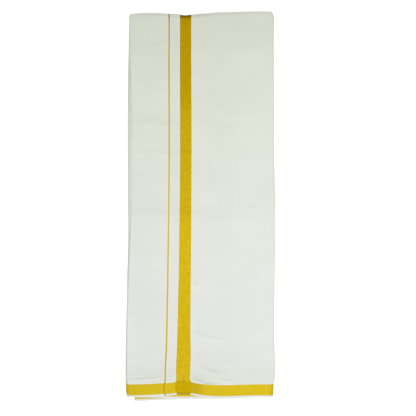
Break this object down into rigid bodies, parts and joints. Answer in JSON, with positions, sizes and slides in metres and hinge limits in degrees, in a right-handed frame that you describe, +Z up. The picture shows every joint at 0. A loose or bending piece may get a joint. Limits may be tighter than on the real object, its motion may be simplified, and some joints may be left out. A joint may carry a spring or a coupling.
{
  "type": "folded dhoti cloth",
  "caption": "Cotton dhoti cloth folded flat into a long stack, with gold zari bands near its cut end and a zari border along its open selvedges.",
  "frame": {"origin": "middle of the folded stack's footprint, on the surface it rests on", "axes": "+Y along the stack from the open selvedges to the closed crease, +X from the cut end to the thick fold, +Z up"},
  "size_m": [0.247, 0.645, 0.0145],
  "materials": {
    "cotton": "matt unbleached cotton weave, with woven gold zari bands and border"
  },
  "bodies": {
    "root": {"outer_sheet": "cotton", "second_end": "cotton", "hidden_layers": "cotton"}
  },
  "joints": []
}
